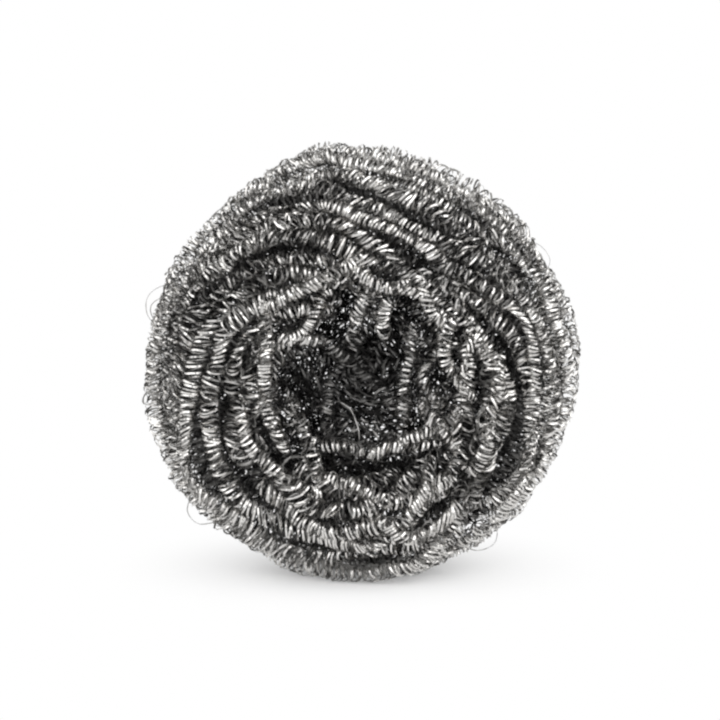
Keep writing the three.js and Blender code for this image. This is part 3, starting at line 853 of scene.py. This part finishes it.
def map_range(tree, value, band, result, interpolation="LINEAR"):
    """Maps a band of values to a band of results, and gives the result."""
    node = tree.nodes.new("ShaderNodeMapRange")
    node.interpolation_type = interpolation
    feed(tree, node.inputs["Value"], value)
    for ends, limits in (("From", band), ("To", result)):
        for limit, number in zip(("Min", "Max"), limits):
            feed(tree, node.inputs[f"{ends} {limit}"], number)
    return node.outputs["Result"]


def mix_colour(tree, factor, first, second):
    """Mixes two colours, and gives the result."""
    node = tree.nodes.new("ShaderNodeMix")
    node.data_type = "RGBA"
    feed(tree, node.inputs["Factor"], factor)
    feed(tree, node.inputs["A"], first)
    feed(tree, node.inputs["B"], second)
    return node.outputs["Result"]


def calculate(tree, operation, *values):
    """Does one sum with the values, and gives the result."""
    node = tree.nodes.new("ShaderNodeMath")
    node.operation = operation
    for socket, value in zip(node.inputs, values):
        feed(tree, socket, value)
    return node.outputs["Value"]


def steel_material(name):
    """Bright steel with painted shade in the hollows, a little mottled along the wire."""
    material = bpy.data.materials.new(name)
    material.use_nodes = True
    tree = material.node_tree
    shader = tree.nodes["Principled BSDF"]
    shader.inputs["Metallic"].default_value = 1.0
    attribute = tree.nodes.new("ShaderNodeAttribute")
    attribute.attribute_name = "shade"
    shade = attribute.outputs["Fac"]
    place = tree.nodes.new("ShaderNodeTexCoord")
    noise = tree.nodes.new("ShaderNodeTexNoise")
    noise.inputs["Scale"].default_value = MOTTLE_SCALE
    noise.inputs["Detail"].default_value = MOTTLE_DETAIL
    feed(tree, noise.inputs["Vector"], place.outputs["Object"])
    mottle = noise.outputs["Fac"]
    clean = map_range(tree, mottle, STAIN_BAND, CLEAN_SHARE)
    open_colour = mix_colour(tree, clean, (*STAIN_COLOUR, 1), (*WIRE_COLOUR, 1))
    # Painted shade: the colour is mixed towards the dark shaded colour by the shade attribute.
    colour = mix_colour(tree, shade, open_colour, (*PAINTED_SHADE_COLOUR, 1))
    feed(tree, shader.inputs["Base Color"], colour)
    polish = map_range(tree, mottle, POLISH_BAND, POLISH_ROUGHNESS)
    roughness = calculate(tree, "MULTIPLY_ADD", shade, SHADE_ROUGHNESS, polish)
    feed(tree, shader.inputs["Roughness"], roughness)
    return material


def add_piece(name, wires, material, width=RIBBON_WIDTH):
    piece = bpy.data.objects.new(name, ribbon_mesh(name, wires, width))
    bpy.context.scene.collection.objects.link(piece)
    piece.data.materials.append(material)
    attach(piece, "root")
    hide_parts("wound_coil")


def split(wire, parts):
    """A long wire as several shorter ones that meet end to end."""
    cuts = np.linspace(0, len(wire[0]) - 1, parts + 1).astype(int)
    return [tuple(rows[a : b + 1] for rows in wire) for a, b in zip(cuts[:-1], cuts[1:])]


def add_wire():
    """The whole strand, in pieces. All of them draw from one row of random numbers, in this order."""
    steel = steel_material("bright_steel")
    rng = np.random.default_rng(SEED)
    outer = coil_along(outer_line(), LOOP_PITCH, LOOP_POINTS, rng)
    for number, wire in enumerate(split(outer, OUTER_PIECES), start=1):
        add_piece(f"outer_turns_{number}", [wire], steel)
    for name, depth, aside, from_ends, pitch, loop_points in INNER_WINDINGS:
        line = inner_line(depth, aside, from_ends)
        add_piece(name, [coil_along(line, pitch, loop_points, rng)], steel)
    packed = coil_along(packed_line(), PACKED_PITCH, PACKED_POINTS, rng)
    add_piece("packed_inside", [packed], steel)
    lines = [crossing_line(lift, route, False) for lift, route in FRONT_CROSSINGS]
    lines += [crossing_line(lift, route, True) for lift, route in BACK_CROSSINGS]
    crossings = [coil_along(line, CROSSING_PITCH, CROSSING_POINTS, rng) for line in lines]
    add_piece("crossing_strands", crossings, steel)
    strays = [stray_wire(route, rng) for route in STRAY_WIRES]
    add_piece("stray_wires", strays, steel, STRAY_WIDTH)


def make_floor():
    """A white floor that keeps the ball's shadow and fades into the white background further out."""
    mesh = bpy.data.meshes.new("floor")
    half = FLOOR_HALF_WIDTH
    corners = [(-half, -half, 0), (half, -half, 0), (half, half, 0), (-half, half, 0)]
    mesh.from_pydata(corners, [], [(0, 1, 2, 3)])
    floor = bpy.data.objects.new("floor", mesh)
    bpy.context.scene.collection.objects.link(floor)
    material = bpy.data.materials.new("white_floor")
    material.use_nodes = True
    tree = material.node_tree
    shader = tree.nodes["Principled BSDF"]
    shader.inputs["Base Color"].default_value = FLOOR_COLOUR
    shader.inputs["Roughness"].default_value = FLOOR_ROUGHNESS
    shader.inputs["Specular IOR Level"].default_value = 0.0
    white = tree.nodes.new("ShaderNodeEmission")
    place = tree.nodes.new("ShaderNodeNewGeometry")
    distance = tree.nodes.new("ShaderNodeVectorMath")
    distance.operation = "LENGTH"
    feed(tree, distance.inputs[0], place.outputs["Position"])
    fade = map_range(tree, distance.outputs["Value"], (0.0, FLOOR_FADE), (FLOOR_WHITE, 1.0), "SMOOTHSTEP")
    path = tree.nodes.new("ShaderNodeLightPath")
    shown = calculate(tree, "MAXIMUM", path.outputs["Is Camera Ray"], path.outputs["Is Glossy Ray"])
    mix = tree.nodes.new("ShaderNodeMixShader")
    feed(tree, mix.inputs[0], calculate(tree, "MULTIPLY", fade, shown))
    feed(tree, mix.inputs[1], shader.outputs["BSDF"])
    feed(tree, mix.inputs[2], white.outputs["Emission"])
    feed(tree, tree.nodes["Material Output"].inputs["Surface"], mix.outputs["Shader"])
    mesh.materials.append(material)


def make_world():
    """White behind the ball and below it, dim above and in front of it. The camera sees white all round."""
    world = bpy.data.worlds.new("studio")
    bpy.context.scene.world = world
    world.use_nodes = True
    tree = world.node_tree
    background = tree.nodes["Background"]
    background.inputs["Color"].default_value = (1, 1, 1, 1)
    direction = tree.nodes.new("ShaderNodeTexCoord")
    lean = tree.nodes.new("ShaderNodeVectorMath")
    lean.operation = "DOT_PRODUCT"
    lean.inputs[1].default_value = WHITE_SIDE
    feed(tree, lean.inputs[0], direction.outputs["Generated"])
    glow = map_range(tree, lean.outputs["Value"], WHITE_BAND, (DIM_SIDE, 1.0), "SMOOTHSTEP")
    path = tree.nodes.new("ShaderNodeLightPath")
    strength = calculate(tree, "MAXIMUM", path.outputs["Is Camera Ray"], glow)
    feed(tree, background.inputs["Strength"], strength)


def add_lamp(name, place, size, power):
    """A rectangle of light that looks at the middle of the ball."""
    lamp = bpy.data.lights.new(name, "AREA")
    lamp.shape = "RECTANGLE"
    lamp.size, lamp.size_y = size
    lamp.energy = power
    lamp_object = bpy.data.objects.new(name, lamp)
    lamp_object.location = place
    aim = Vector((0, 0, AXIS_HEIGHT)) - Vector(place)
    lamp_object.rotation_euler = aim.to_track_quat("-Z", "Y").to_euler()
    bpy.context.scene.collection.objects.link(lamp_object)


def make_camera():
    camera = bpy.data.cameras.new("camera")
    camera.lens = CAMERA_LENS
    camera_object = bpy.data.objects.new("camera", camera)
    target = Vector((CAMERA_AIM_X, 0, AXIS_HEIGHT + CAMERA_AIM_RISE))
    elevation = math.radians(CAMERA_ELEVATION)
    back = Vector((0, -math.cos(elevation), math.sin(elevation)))
    camera_object.location = target + back * CAMERA_DISTANCE
    camera_object.rotation_euler = (-back).to_track_quat("-Z", "Y").to_euler()
    bpy.context.scene.collection.objects.link(camera_object)
    bpy.context.scene.camera = camera_object


add_wire()
make_floor()
make_world()
for name, place, size, power in LAMPS:
    add_lamp(name, place, size, power)
make_camera()
bpy.context.scene.view_settings.view_transform = "Standard"
bpy.context.scene.cycles.filter_width = PIXEL_FILTER_WIDTH
